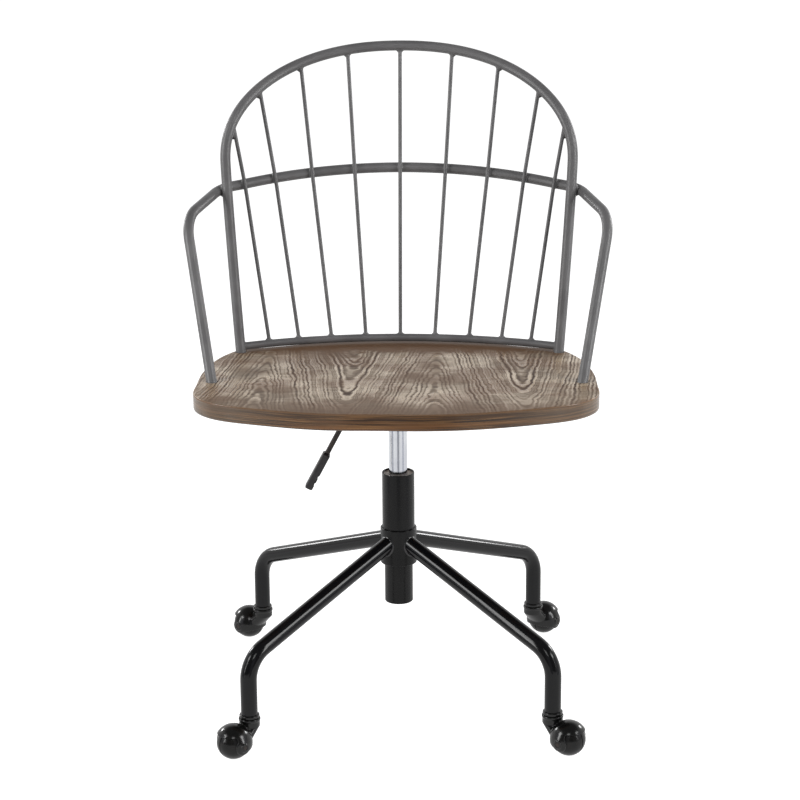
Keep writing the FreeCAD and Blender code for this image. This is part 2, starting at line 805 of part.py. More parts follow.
def guide_bush():
    """Plastic bush in the top of the column, in which the gas cylinder slides and turns."""
    top = column_top - bush_recess
    bottom = top - bush_length
    bore = cylinder_diameter / 2 + running_fit
    outer = column_bore / 2 - press_fit
    return turned([(bore, bottom), (outer, bottom), (outer, top), (bore + bush_chamfer, top),
                   (bore, top - bush_chamfer)])


def groove_ring(centre_height):
    """Ring that cuts a ball track into a race."""
    track_radius = bearing_ball_diameter / 2 + running_fit
    return Part.makeTorus(bearing_pitch_diameter / 2, track_radius, UP * centre_height)


ball_height = column_floor_top + race_thickness + bearing_ball_diameter / 2 - race_groove_depth


def bearing_race(low, bore):
    """Hardened washer with a ball track."""
    ring = cylinder(race_diameter / 2, low, low + race_thickness).cut(
        cylinder(bore, low - overrun, low + race_thickness + overrun))
    return ring.cut(groove_ring(ball_height))


def bearing_balls():
    """Balls of the thrust bearing."""
    balls = []
    for index in range(bearing_ball_count):
        angle = math.radians(360) * index / bearing_ball_count
        centre = V(math.cos(angle), math.sin(angle), 0) * (bearing_pitch_diameter / 2) + UP * ball_height
        balls.append(Part.makeSphere(bearing_ball_diameter / 2, centre))
    return Part.makeCompound(balls)


export("column_tube", column_tube())
export("guide_bush", guide_bush())
export("lower_race", bearing_race(column_floor_top, rod_diameter / 2))
export("upper_race", bearing_race(race_top - race_thickness, rod_neck_diameter / 2 + running_fit))
export("bearing_balls", bearing_balls())

clip_top = column_bottom + column_floor_recess - moving_gap
clip_bottom = clip_top - clip_thickness
groove_radius = (rod_neck_diameter + clip_opening) / 4
piston_bottom = column_top - piston_depth_in_column


def piston_rod():
    """Rod that stands on the thrust bearing and carries the piston."""
    rod = rod_diameter / 2
    neck = rod_neck_diameter / 2
    rod_foot = clip_bottom - clip_thickness
    rod_head = piston_bottom + piston_length
    return turned([(0, rod_foot), (neck, rod_foot), (neck, clip_bottom), (groove_radius, clip_bottom),
                   (groove_radius, clip_top), (neck, clip_top), (neck, race_top), (rod, race_top),
                   (rod, piston_bottom), (neck, piston_bottom), (neck, rod_head), (0, rod_head)])


def piston():
    """Piston on the rod's upper end, inside the gas cylinder."""
    radius = cylinder_diameter / 2 - cylinder_wall - running_fit
    bore = rod_neck_diameter / 2 + press_fit
    return turned([(bore, piston_bottom), (radius, piston_bottom), (radius, piston_bottom + piston_length),
                   (bore, piston_bottom + piston_length)])


def bump_stop():
    """Rubber ring on the upper race, which softens the lowest stop."""
    bore = rod_diameter / 2 + running_fit
    outer = bump_stop_diameter / 2
    high = race_top + bump_stop_height
    ring = turned([(bore, race_top), (outer, race_top), (outer, high), (bore, high)])
    return round_edges(ring, bump_stop_height / 4, circle_at(high, outer))


def retaining_clip():
    """Open spring clip in the rod's groove under the column's floor."""
    ring = cylinder(clip_diameter / 2, clip_bottom, clip_top).cut(
        cylinder(groove_radius + press_fit, clip_bottom - overrun, clip_top + overrun))
    mouth = block(V(-clip_opening / 2, 0, clip_bottom - overrun),
                  V(clip_opening / 2, clip_diameter, clip_top + overrun))
    return ring.cut(mouth)


export("piston_rod", piston_rod())
export("piston", piston())
export("bump_stop", bump_stop())
export("retaining_clip", retaining_clip())


def hub_sleeve():
    """Base hub, bored to the column's taper."""
    cone_top = hub_top - column_cone_entry
    cone_bottom = cone_top - column_cone_length
    outer = hub_diameter / 2
    wide = column_diameter / 2 + press_fit
    narrow = column_neck_diameter / 2 + press_fit
    body = turned([(narrow, hub_bottom), (outer, hub_bottom), (outer, hub_top), (wide, hub_top),
                   (wide, cone_top), (narrow, cone_bottom)])
    body = round_edges(body, hub_edge_rounding, circle_at(hub_top, outer))
    return round_edges(body, hub_edge_rounding, circle_at(hub_bottom, outer))


def leg_place(side, end):
    """Where one leg meets the floor, with the base turned under the seat."""
    return FreeCAD.Rotation(UP, base_turn_degrees).multVec(V(side * leg_reach, end * leg_reach, 0))


def leg(side, end):
    """Bent tube from the hub out and down to a caster, coped to the hub."""
    corner = leg_place(side, end) + UP * leg_corner_height
    foot = leg_place(side, end) + UP * caster_height
    centre = UP * leg_axis_height
    edges = bent_edges([centre, corner, foot], [leg_bend_radius])
    hub = cylinder(hub_diameter / 2, hub_bottom - hub_height, hub_top + hub_height)
    return tube(edges, leg_tube_diameter / 2, leg_tube_wall).cut(hub)


def caster_socket(side, end):
    """Plastic socket in the end of a leg, whose flange covers the tube's edge."""
    flange_low = caster_height - flange_height
    body_radius = leg_tube_diameter / 2 - leg_tube_wall - press_fit
    bore = stem_diameter / 2 + running_fit
    top = caster_height + socket_insert_length
    outer = flange_diameter / 2
    bore_top = top - socket_insert_cap
    body = turned([(bore, flange_low), (outer, flange_low), (outer, caster_height),
                   (body_radius, caster_height), (body_radius, top), (0, top), (0, bore_top),
                   (bore, bore_top)])
    body = round_edges(body, ring_rounding, circle_at(flange_low, outer))
    body = round_edges(body, ring_rounding, circle_at(caster_height, outer))
    body.translate(leg_place(side, end))
    return body


# Places shared by the pieces of a caster, before it is turned and moved to its leg
ball_radius = ball_diameter / 2
ball_centre = V(caster_trail, 0, ball_radius)
hood_inner_radius = ball_radius + ball_gap
hood_outer_radius = hood_inner_radius + hood_wall
boss_reach = hood_outer_radius + hood_boss_proud
collar_top = caster_height - flange_height - moving_gap
collar_low = collar_top - collar_height


def crosswise(radius, reach):
    """Cylinder on the axle's line, to the same reach on both sides of the ball's centre."""
    return Part.makeCylinder(radius, 2 * reach, ball_centre - ACROSS * reach, ACROSS)


def caster_ball():
    """Ball wheel, bored for its axle, with the seam of its two halves and sunk faces round the bore."""
    seam = crosswise(hood_outer_radius, ball_groove_width / 2).cut(
        crosswise(ball_radius - ball_groove_depth, ball_groove_width))
    face_reach = math.sqrt(ball_radius ** 2 - (ball_bore_face_diameter / 2) ** 2) - ball_bore_face_depth
    faces = crosswise(ball_bore_face_diameter / 2, hood_outer_radius).cut(crosswise(ball_radius, face_reach))
    bore = crosswise(axle_diameter / 2 + running_fit, hood_outer_radius)
    return Part.makeSphere(ball_radius, ball_centre).cut([seam, faces, bore])


def hood_shell():
    """Part of a sphere over the ball, which runs down to a round lug at each end of the axle."""
    lug_across = hood_lug_radius * math.sin(math.radians(hood_lug_degrees))
    lug_up = hood_lug_radius * math.cos(math.radians(hood_lug_degrees))
    front = -neck_diameter / 2
    front_rim = ball_radius
    tail = ball_centre.x + hood_outer_radius + overrun
    rim = ball_radius + hood_rim_height
    side_view = [(front, front_rim), (ball_centre.x - lug_across, ball_radius - lug_up),
                 (ball_centre.x + lug_across, ball_radius + lug_up), (ball_centre.x + lug_across, rim),
                 (tail, rim), (tail, collar_top), (front, collar_top)]
    points = [V(x, -hood_outer_radius, z) for x, z in side_view]
    slab = Part.Face(Part.makePolygon(points + points[:1])).extrude(ACROSS * (2 * hood_outer_radius))
    return Part.makeSphere(hood_outer_radius, ball_centre).common(
        slab.fuse(crosswise(hood_lug_radius, hood_outer_radius)))


def hood_neck():
    """Neck under the collar: straight at first, then an oblique cone into the shell's front."""
    neck_radius = neck_diameter / 2
    foot_radius = neck_foot_diameter / 2
    slope_top = collar_low - neck_straight_height
    foot_x = ball_centre.x - hood_inner_radius - hood_wall / 2 + foot_radius
    rings = [Part.Wire(Part.makeCircle(neck_radius, UP * slope_top)),
             Part.Wire(Part.makeCircle(foot_radius, V(foot_x, 0, ball_radius)))]
    return cylinder(neck_radius, slope_top, collar_low).fuse(Part.makeLoft(rings, True, True))


def caster_hood():
    """Moulded hood: the shell, bosses for the axle, and its neck under a collar, bored for the stem."""
    collar = cylinder(collar_diameter / 2, collar_low, collar_top)
    collar = round_edges(collar, ring_rounding, lambda e: isinstance(e.Curve, Part.Circle))
    bosses = crosswise(hood_boss_diameter / 2, boss_reach)
    stem_hole = cylinder(stem_diameter / 2 + press_fit, collar_top - stem_root_length, collar_top + overrun)
    room = Part.makeSphere(hood_inner_radius, ball_centre)
    axle_hole = crosswise(axle_diameter / 2 + press_fit, boss_reach + overrun)
    return hood_shell().fuse([bosses, hood_neck(), collar]).cut([room, axle_hole, stem_hole])


def caster_axle():
    """Steel axle through the ball and both lugs."""
    return crosswise(axle_diameter / 2, boss_reach)


def caster_stem():
    """Steel stem fixed in the hood's neck, which turns in the leg's socket."""
    top = collar_top + stem_length
    pin = cylinder(stem_diameter / 2, collar_top - stem_root_length, top)
    pin = pin.makeChamfer(stem_point, [edge for edge in pin.Edges if circle_at(top)(edge)])
    return pin.cut(Part.makeSphere(hood_inner_radius, ball_centre))


export("hub_sleeve", hub_sleeve())
caster_pieces = {"caster_hood": caster_hood(), "caster_stem": caster_stem(),
                 "caster_axle": caster_axle(), "caster_ball": caster_ball()}
for corner_name, trail in caster_trail_degrees.items():
    side = -1 if corner_name.endswith("left") else 1
    end = -1 if corner_name.startswith("front") else 1
    export("leg_" + corner_name, leg(side, end))
    export("caster_socket_" + corner_name, caster_socket(side, end))
    for piece_name, piece in caster_pieces.items():
        placed = piece.copy()
        placed.Placement = FreeCAD.Placement(leg_place(side, end), FreeCAD.Rotation(UP, trail))
        export(piece_name + "_" + corner_name, placed)
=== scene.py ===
"""Swivel desk chair with a brushed wood seat, a bent steel back and a four-leg base: its looks, stage and camera.

Lengths in the tables are millimetres, as on the drawing; meshes are in metres. The chair faces -Y.
"""
import json
import math
import bmesh
import bpy
from mathutils import Matrix, Vector


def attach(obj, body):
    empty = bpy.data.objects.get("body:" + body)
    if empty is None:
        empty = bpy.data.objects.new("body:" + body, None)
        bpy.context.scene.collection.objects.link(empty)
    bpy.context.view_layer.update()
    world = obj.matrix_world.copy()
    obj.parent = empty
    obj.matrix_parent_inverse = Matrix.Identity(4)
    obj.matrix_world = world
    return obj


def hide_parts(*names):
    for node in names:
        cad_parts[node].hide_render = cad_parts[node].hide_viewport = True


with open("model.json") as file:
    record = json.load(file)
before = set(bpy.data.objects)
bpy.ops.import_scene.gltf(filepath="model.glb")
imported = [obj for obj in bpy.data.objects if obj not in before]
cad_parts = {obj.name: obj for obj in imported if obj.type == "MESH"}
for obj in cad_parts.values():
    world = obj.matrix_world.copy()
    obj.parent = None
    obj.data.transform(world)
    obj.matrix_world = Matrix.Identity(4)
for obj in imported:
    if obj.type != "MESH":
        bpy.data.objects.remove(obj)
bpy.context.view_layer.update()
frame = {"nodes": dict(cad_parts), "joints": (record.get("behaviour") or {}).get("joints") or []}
nodes = frame["nodes"]

MM = 0.001
UP = Vector((0, 0, 1))

# Sizes of the back, as its tubes are bent
seat_top = 518.0
seat_rear_reach = 209.0
back_lean_degrees = 12.0
back_setback = 16.5
back_radius_low = 585.0
back_radius_at_arm_rail = 462.0
frame_tube_radius = 8.0
hoop_foot_x = 250.0
hoop_spread = 19.2
hoop_half_width = hoop_foot_x + hoop_spread
hoop_shoulder_height = 300.0
hoop_height = 460.0
hoop_upright_power = 1.2
hoop_crown_power = 2.27
lower_rail_radius = 6.0
lower_rail_lift = 8.5
lower_rail_z = seat_top + lower_rail_lift
arm_rail_z = seat_top + 270.6
arm_rail_fall_degrees = 12.1
arm_bend_radius = 58.0
arm_turn_radius = 55.0
arm_foot = Vector((279.0, -38.5, seat_top))
arm_corner_flare = 43.0
arm_corner_setback = 103.5
weld_bite = 0.2
spindle_radius = 3.0
spindle_bend_radius = 240.0
spindle_foot_shares = (-0.824, -0.64, -0.436, -0.219, 0.0, 0.219, 0.436, 0.64, 0.824)
spindle_rail_shares = (-0.888, -0.72, -0.512, -0.267, 0.0, 0.267, 0.512, 0.72, 0.888)
spindle_top_shares = (-0.957, -0.809, -0.577, -0.307, 0.0, 0.307, 0.577, 0.809, 0.957)
foot_socket_depth = 9.0

# Sizes of the base
caster_corners = ("front_left", "front_right", "rear_left", "rear_right")
hub_radius = 28.0
leg_axis_height = 260.0
leg_corner_height = 147.0
leg_root_share = 0.8
leg_tube_radius = 12.5
leg_bend_radius = 46.0
caster_height = 62.0

# Sampling of the curves: stations from a rail's middle to its end, and the chord that gives an upright's direction
rail_stations = 40
upright_chord = 4.0

# Weld beads: the skin that a ball of this radius leaves when it rolls round the joint
spindle_foot_bead = 4.6
spindle_top_bead = 5.0
spindle_cross_bead = 2.7
rail_end_bead = 3.0
upright_cross_bead = 5.0
leg_bead = 4.0
bead_sink = 0.12
bead_tuck = 0.4
bead_stations = 40
bead_rows = 9

# Moulded hoods, whose edges are run together
hood_grid = 0.5
hood_melt_passes = 8

# Figure of the seat's wood: its arches in millimetres, their wander in growth rings
arch_spacing = 262.0
arch_place = 59.0
arch_depth = 46.0
arch_steepness = 7.0
arch_sharpness = 0.97
sway_rings = 4.5
waver_rings = 1.2
growth_strength = 6.0
even_ridge_strength = 0.9
fleck_strength = 2.6
patch_strength = 2.4

# Where the board's finish changes, and where painted shade and painted sheen lie on it: depths from the middle, and
# distances under its top
front_sanded = (-215.0, -110.0)
painted_rail_shade = (185.0, 140.0)
corner_sheen = (130.0, 280.0)
top_face_under = (1.0, 0.1)
arris_under = (3.0, 1.2)
lower_edge_under = (6.0, 24.0)

# Noises of the wood: turns per metre along X, Y and Z, and the octaves of detail
wood_noises = {
    "sway": ((11.0, 4.95, 11.0), 2.0), "waver": ((48.0, 48.0, 48.0), 2.0), "firm": ((13.0, 13.0, 13.0), 2.0),
    "fleck": ((45.0, 120.0, 60.0), 2.0), "patch": ((15.0, 9.0, 15.0), 2.0), "sheen_patch": ((14.0, 17.0, 14.0), 3.0),
    "fibre": ((520.0, 41.6, 520.0), 2.0), "layer": ((3.0, 3.0, 330.0), 2.0), "thread": ((10.0, 10.0, 1300.0), 1.0)}


def linear(code):
    """Shader colour from an sRGB hex code."""
    parts = [int(code[start:start + 2], 16) / 255 for start in (1, 3, 5)]
    return tuple(p / 12.92 if p <= 0.04045 else ((p + 0.055) / 1.055) ** 2.4 for p in parts) + (1.0,)


def add(tree, kind, inputs=None, **settings):
    """Adds one node with its settings; each input is filled with a value or linked from a socket."""
    made = tree.nodes.new(kind)
    for name, value in settings.items():
        setattr(made, name, value)
    for key, value in (inputs or {}).items():
        if isinstance(value, bpy.types.NodeSocket):
            tree.links.new(value, made.inputs[key])
        else:
            made.inputs[key].default_value = value
    return made


def new_material(name, **sockets):
    """Material whose Principled shader has the given socket values; returns it with its tree, shader and place."""
    made = bpy.data.materials.new(name)
    made.use_nodes = True
    tree = made.node_tree
    shader = tree.nodes["Principled BSDF"]
    for socket, value in sockets.items():
        shader.inputs[socket.replace("_", " ").title().replace("Ior", "IOR")].default_value = value
    place = add(tree, "ShaderNodeTexCoord").outputs["Object"]
    return made, tree, shader, place


def solid_finish(name, tones, gloss, drift_mm, grain_mm, relief_mm, stretch=(1, 1, 1), **sockets):
    """Even finish: the colour drifts between two tones, and a fine grain moves its roughness and its relief."""
    made, tree, shader, place = new_material(name, **sockets)
    stretched = add(tree, "ShaderNodeVectorMath", {0: place, 1: stretch}, operation="MULTIPLY").outputs[0]
    drift = add(tree, "ShaderNodeTexNoise", {"Vector": place, "Scale": 1 / (drift_mm * MM), "Detail": 3.0})
    grain = add(tree, "ShaderNodeTexNoise", {"Vector": stretched, "Scale": 1 / (grain_mm * MM), "Detail": 2.0})
    share = add(tree, "ShaderNodeMapRange", {"Value": drift.outputs["Fac"], "From Min": 0.35, "From Max": 0.65},
                interpolation_type="SMOOTHSTEP").outputs[0]
    tint = add(tree, "ShaderNodeMix", {0: share, 6: linear(tones[0]), 7: linear(tones[1])}, data_type="RGBA")
    rough = add(tree, "ShaderNodeMapRange", {"Value": grain.outputs["Fac"], "From Min": 0.3, "From Max": 0.7,
                                             "To Min": gloss[0], "To Max": gloss[1]})
    relief = add(tree, "ShaderNodeBump", {"Height": grain.outputs["Fac"], "Distance": relief_mm * MM})
    tree.links.new(tint.outputs[2], shader.inputs["Base Color"])
    tree.links.new(rough.outputs[0], shader.inputs["Roughness"])
    tree.links.new(relief.outputs[0], shader.inputs["Normal"])
    return made


def seat_wood():
    """Laminated elm-look board, wire-brushed on top, stained brown and lacquered satin: the brushed ridges shine,
    the valleys stay dull, and the edge shows the layers end on. The ridges' pale grey is partly the wood's lighter
    grain and partly painted sheen, the edge's corners carry a painted grey sheen, and a painted shade of the lower
    rail lies in front of it."""
    made, tree, shader, place = new_material("stained_brushed_wood_satin_lacquer", specular_ior_level=0.5)
    x, y, z = add(tree, "ShaderNodeSeparateXYZ", {0: place}).outputs
    grains = {}
    for label, (grain, detail) in wood_noises.items():
        scaled = add(tree, "ShaderNodeVectorMath", {0: place, 1: grain}, operation="MULTIPLY").outputs[0]
        noise = add(tree, "ShaderNodeTexNoise", {"Vector": scaled, "Scale": 1.0, "Detail": detail})
        grains[label] = noise.outputs["Fac"]

    # Cathedral figure: pointed arches that open by turns to the front and to the back, nested one in the other
    turn = 2 * math.pi / arch_spacing
    angle = add(tree, "ShaderNodeMath", {0: x, 1: turn / MM, 2: -turn * arch_place},
                operation="MULTIPLY_ADD").outputs[0]
    wave = add(tree, "ShaderNodeMath", {0: angle}, operation="COSINE").outputs[0]
    blunted = add(tree, "ShaderNodeMath", {0: wave, 1: arch_sharpness}, operation="MULTIPLY").outputs[0]
    pointed = add(tree, "ShaderNodeMath", {0: blunted}, operation="ARCSINE").outputs[0]
    rings = add(tree, "ShaderNodeMath", {0: y, 1: 1 / (arch_depth * MM)}, operation="MULTIPLY").outputs[0]
    for source, strength in ((pointed, -arch_steepness), (grains["sway"], sway_rings),
                             (grains["waver"], waver_rings)):
        rings = add(tree, "ShaderNodeMath", {0: source, 1: strength, 2: rings}, operation="MULTIPLY_ADD").outputs[0]
    turns = add(tree, "ShaderNodeMath", {0: rings, 1: 2 * math.pi}, operation="MULTIPLY").outputs[0]
    even_ridge = add(tree, "ShaderNodeMath", {0: turns}, operation="COSINE").outputs[0]
    growth = add(tree, "ShaderNodeTexNoise", {"W": rings, "Scale": 1.4, "Detail": 1.5},
                 noise_dimensions="1D").outputs[0]
    ridge = add(tree, "ShaderNodeMath", {0: growth, 1: growth_strength, 2: -growth_strength / 2},
                operation="MULTIPLY_ADD").outputs[0]
    ridge = add(tree, "ShaderNodeMath", {0: even_ridge, 1: even_ridge_strength, 2: ridge},
                operation="MULTIPLY_ADD").outputs[0]

    # The board is sanded smoother along its front edge; in front of the back's lower rail a plain darker brown is
    # painted in for the rail's shade and its reflection in the lacquer, and the brushed figure is left out there
    off_front = add(tree, "ShaderNodeMapRange", {"Value": y, "From Min": front_sanded[0] * MM,
                                                 "From Max": front_sanded[1] * MM, "To Min": 0.12},
                    interpolation_type="SMOOTHSTEP").outputs[0]
    ragged = add(tree, "ShaderNodeMath", {0: grains["waver"], 1: 0.06, 2: y}, operation="MULTIPLY_ADD").outputs[0]
    clear_of_rail_shade = add(tree, "ShaderNodeMapRange", {"Value": ragged, "From Min": painted_rail_shade[0] * MM,
                                                "From Max": painted_rail_shade[1] * MM},
                   interpolation_type="SMOOTHSTEP").outputs[0]
    brushed = add(tree, "ShaderNodeMath", {0: off_front, 1: clear_of_rail_shade}, operation="MULTIPLY").outputs[0]
    firm = add(tree, "ShaderNodeMapRange", {"Value": grains["firm"], "From Min": 0.35, "From Max": 0.65,
                                            "To Min": 0.35, "To Max": 1.4}).outputs[0]
    firm = add(tree, "ShaderNodeMath", {0: firm, 1: brushed}, operation="MULTIPLY").outputs[0]

    # Short flecks across the grain, and patches where the figure fades into plain brown
    raised = add(tree, "ShaderNodeMath", {0: grains["fleck"], 1: fleck_strength, 2: -fleck_strength / 2},
                 operation="MULTIPLY_ADD").outputs[0]
    raised = add(tree, "ShaderNodeMath", {0: ridge, 1: raised}, operation="ADD").outputs[0]
    raised = add(tree, "ShaderNodeMath", {0: grains["patch"], 1: patch_strength, 2: raised},
                 operation="MULTIPLY_ADD").outputs[0]
    raised = add(tree, "ShaderNodeMath", {0: raised, 1: firm}, operation="MULTIPLY").outputs[0]
    crest = add(tree, "ShaderNodeMapRange", {"Value": raised, "From Min": -1.2, "From Max": 2.9},
                interpolation_type="SMOOTHSTEP").outputs[0]

    # Patches of painted sheen, where the ridges are painted grey and pale, between ones where they stay browner
    sheen_patch = add(tree, "ShaderNodeMapRange", {"Value": grains["sheen_patch"], "From Min": 0.38, "From Max": 0.62},
               interpolation_type="SMOOTHSTEP").outputs[0]
    sheen_patch = add(tree, "ShaderNodeMath", {0: sheen_patch, 1: brushed}, operation="MULTIPLY").outputs[0]

    # Brushed fibres along the arches stand on the ridges
    fibre_relief = add(tree, "ShaderNodeMath", {0: grains["fibre"], 1: 0.2, 2: crest},
                       operation="MULTIPLY_ADD").outputs[0]
    face_relief = add(tree, "ShaderNodeMath", {0: fibre_relief, 1: brushed}, operation="MULTIPLY").outputs[0]
    edge_relief = add(tree, "ShaderNodeMath", {0: grains["layer"], 1: 0.2}, operation="MULTIPLY").outputs[0]

    # Shares of the top face, its arris, the edge's lower half and its corners, where a grey sheen is painted, and of
    # the layers seen on the edge
    shares = {}
    for label, source, low, high in (
            ("top", z, (seat_top - top_face_under[0]) * MM, (seat_top - top_face_under[1]) * MM),
            ("arris", z, (seat_top - arris_under[0]) * MM, (seat_top - arris_under[1]) * MM),
            ("lower", z, (seat_top - lower_edge_under[0]) * MM, (seat_top - lower_edge_under[1]) * MM),
            ("layer", grains["layer"], 0.43, 0.57), ("thread", grains["thread"], 0.53, 0.65)):
        shares[label] = add(tree, "ShaderNodeMapRange",
                            {"Value": source, "From Min": low, "From Max": high}).outputs[0]
    from_middle = add(tree, "ShaderNodeMath", {0: x}, operation="ABSOLUTE").outputs[0]
    shares["corner"] = add(tree, "ShaderNodeMapRange", {"Value": from_middle, "From Min": corner_sheen[0] * MM,
                                                        "From Max": corner_sheen[1] * MM, "To Max": 0.55},
                           interpolation_type="SMOOTHSTEP").outputs[0]

    # Each tone is mixed from two others: its name, the share of the second, the first and the second. The pale ridges
    # are partly the wood's lighter grain and partly painted sheen; the face's plain brown is painted rail shade, the
    # edge's grey at the corners is painted sheen, and the arris tone is partly the veneer's edge and partly a painted
    # highlight on its rounding
    tones = {}
    for label, share, first, second in (
            ("ridge_pale", grains["fibre"], "#977c5f", "#82664b"),
            ("sheen_pale", grains["fibre"], "#cdbaa1", "#b49f85"),
            ("pale", sheen_patch, "ridge_pale", "sheen_pale"), ("valley", sheen_patch, "#503722", "#392313"),
            ("figure", crest, "valley", "pale"), ("face", clear_of_rail_shade, "#64472c", "figure"),
            ("layers", shares["lower"], "#442d17", "#774f2b"), ("banded", shares["layer"], "#2e1c0a", "layers"),
            ("threaded", shares["thread"], "banded", "#85613c"), ("edge", shares["corner"], "threaded", "#756657"),
            ("arris", shares["arris"], "edge", "#6e5138"), ("board", shares["top"], "arris", "face")):
        pair = [linear(tone) if tone.startswith("#") else tones[tone] for tone in (first, second)]
        tones[label] = add(tree, "ShaderNodeMix", {0: share, 6: pair[0], 7: pair[1]}, data_type="RGBA").outputs[2]

    shine = add(tree, "ShaderNodeMapRange", {"Value": crest, "To Min": 0.66, "To Max": 0.22}).outputs[0]
    edge_shine = add(tree, "ShaderNodeMapRange", {"Value": grains["layer"], "To Min": 0.2, "To Max": 0.32}).outputs[0]
    rough = add(tree, "ShaderNodeMix", {0: shares["top"], 2: edge_shine, 3: shine}, data_type="FLOAT").outputs[0]
    height = add(tree, "ShaderNodeMix", {0: shares["top"], 2: edge_relief, 3: face_relief},
                 data_type="FLOAT").outputs[0]
    relief = add(tree, "ShaderNodeBump", {"Height": height, "Distance": 0.55 * MM})
    tree.links.new(tones["board"], shader.inputs["Base Color"])
    tree.links.new(rough, shader.inputs["Roughness"])
    tree.links.new(relief.outputs[0], shader.inputs["Normal"])
    return made


# Gunmetal powder coat on steel tube: satin, with the faint orange peel of baked powder
frame_coat = solid_finish("gunmetal_powder_coat_satin", ("#595859", "#646364"), (0.36, 0.46), 45, 1.3, 0.03,
                          specular_ior_level=0.5)
# Stoved black enamel on the legs: deep gloss with long soft highlights
leg_enamel = solid_finish("black_stoved_enamel_gloss", ("#08080a", "#0c0c0e"), (0.1, 0.17), 60, 2.6, 0.01,
                          specular_ior_level=0.28)
# The same enamel where it has run over the ripples of a weld
weld_enamel = solid_finish("black_stoved_enamel_on_weld_ripples", ("#08080a", "#0c0c0e"), (0.08, 0.14), 12, 2.4, 0.45,
                           specular_ior_level=0.6)
# Black powder coat on the column, hub and seat mechanism: a little duller than the legs
column_coat = solid_finish("black_powder_coat_semi_gloss", ("#0b0b0c", "#101010"), (0.2, 0.3), 40, 1.1, 0.015,
                           specular_ior_level=0.22)
# Hard chrome on the gas cylinder: ground round the tube, then polished
chrome = solid_finish("ground_hard_chrome", ("#c3c5cb", "#d0d2d6"), (0.14, 0.2), 50, 3.0, 0.002,
                      stretch=(1, 1, 12), metallic=1.0)
# Glossy black nylon of the hoods and sockets: moulded, with wide soft dimples of shrinkage
hood_nylon = solid_finish("black_nylon_moulded_gloss", ("#0a0a0a", "#10100f"), (0.14, 0.22), 20, 5.0, 0.03,
                          specular_ior_level=0.4)
# Ball wheels: the same plastic, finely scuffed by rolling
ball_nylon = solid_finish("black_nylon_rolled_gloss", ("#0e0e0e", "#171615"), (0.12, 0.26), 9, 1.6, 0.02,
                          specular_ior_level=0.28)
# Matt moulded grip with a leathery mould texture
grip_plastic = solid_finish("black_polypropylene_moulded_matt", ("#1c1a1b", "#262324"), (0.32, 0.46), 12, 0.9, 0.04)
# Blackened steel of the lever's rod and the casters' axles
rod_black = solid_finish("black_oxide_steel_satin", ("#2b2725", "#3a3431"), (0.3, 0.42), 10, 0.8, 0.01, metallic=0.6)
# Grey acetal bush in the column's mouth, with a film of grease; its tones are painted lighter than the acetal itself,
# as painted light against the shade deep in the mouth
bush_plastic = solid_finish("grey_acetal_moulded", ("#b8ada3", "#d8cfc6"), (0.3, 0.5), 5, 1.5, 0.08)
# Zinc plated fasteners, stems and inner steel parts
zinc = solid_finish("zinc_plated_steel", ("#a9abab", "#c2c3c1"), (0.24, 0.4), 6, 0.7, 0.01, metallic=1.0)
# Turned aluminium piston: lathe lines round the axis
turned_metal = solid_finish("turned_aluminium", ("#b9babb", "#cdcdce"), (0.2, 0.34), 12, 0.9, 0.01,
                            stretch=(1, 1, 9), metallic=1.0)
# Moulded rubber stop: dull, with a bloom
rubber = solid_finish("moulded_rubber_matt", ("#161616", "#232322"), (0.72, 0.85), 7, 0.6, 0.02)

finishes = {
    "seat_wood": seat_wood(), "frame_grey": frame_coat, "base_black": leg_enamel, "cylinder_chrome": chrome,
    "caster_black": hood_nylon, "plastic_black": grip_plastic, "bush_grey": bush_plastic, "steel": zinc,
    "piston_metal": turned_metal, "bump_rubber": rubber}
other_finishes = {
    "column_tube": column_coat, "hub_sleeve": column_coat, "seat_plate": column_coat,
    "mechanism_channel": column_coat, "lever_rod": rod_black}
for corner_name in caster_corners:
    other_finishes["caster_ball_" + corner_name] = ball_nylon
    other_finishes["caster_socket_" + corner_name] = hood_nylon
    other_finishes["caster_axle_" + corner_name] = rod_black
for name, part in nodes.items():
    for place in part.material_slots:
        place.material = other_finishes.get(name, finishes[place.material.name.split(".")[0]])


def new_piece(name, mesh, body, replaced=()):
    """Makes a finished mesh a piece of the chair that moves with a body."""
    piece = bpy.data.objects.new(name, mesh)
    bpy.context.scene.collection.objects.link(piece)
    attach(piece, body)
    if replaced:
        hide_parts(*replaced)
    return piece


def mirrored(point):
    """The same point on the other side of the chair."""
    return Vector((-point.x, point.y, point.z))


def back_radius(height):
    """Plan radius of the back's surface at a height."""
    change = (back_radius_at_arm_rail - back_radius_low) / (arm_rail_z - lower_rail_z)
    return back_radius_low + change * (height - lower_rail_z)


def back_point(x, height):
    """Point on the leaning surface that the hoop and the spindles follow."""
    radius = back_radius(height)
    lean = (height - lower_rail_z) * math.tan(math.radians(back_lean_degrees))
    return Vector((x, seat_rear_reach - back_setback + lean - radius + math.sqrt(radius ** 2 - x ** 2), height))


def back_normal(x, height):
    """Level direction that points away from the sitter at right angles to that surface."""
    radius = back_radius(height)
    return Vector((x / radius, math.sqrt(radius ** 2 - x ** 2) / radius, 0))


def arm_plane_height(depth):
    """Height of the arm rail, which falls towards the front."""
    rail_depth = back_point(0, arm_rail_z).y + frame_tube_radius + spindle_radius
    return arm_rail_z - (rail_depth - depth) * math.tan(math.radians(arm_rail_fall_degrees))


def rail_crossing(x, standoff):
    """Centre of the arm rail behind the back's surface, at a distance from the middle."""
    height = arm_rail_z
    for _ in range(12):
        rail = back_point(x, height) + back_normal(x, height) * standoff
        height = arm_plane_height(rail.y)
    return Vector((rail.x, rail.y, height))


